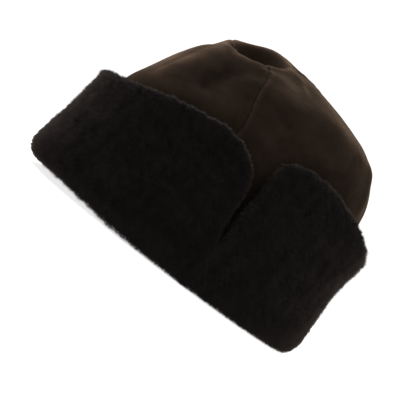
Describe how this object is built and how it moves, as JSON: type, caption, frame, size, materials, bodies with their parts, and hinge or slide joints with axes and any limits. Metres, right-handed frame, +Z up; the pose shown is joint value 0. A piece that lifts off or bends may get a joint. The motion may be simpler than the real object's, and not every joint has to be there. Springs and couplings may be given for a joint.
{
  "type": "cossack hat",
  "caption": "Soft sheepskin cossack hat with a dented suede crown and a turned-up cuff of dark clipped fleece, open below for the head.",
  "frame": {"origin": "middle of the hat's outline seen from above, on the surface that the rim rests on", "axes": "+Z up through the crown, -Y towards the front of the hat, +X towards the wearer's left"},
  "size_m": [0.2044, 0.2446, 0.1652],
  "materials": {
    "suede": "matt brushed suede",
    "fleece": "short clipped wool"
  },
  "bodies": {
    "root": {"crown_front_gore": "suede", "crown_left_gore": "suede", "crown_right_gore": "suede", "front_flap": "fleece", "ear_and_nape_flap": "fleece"}
  },
  "joints": []
}
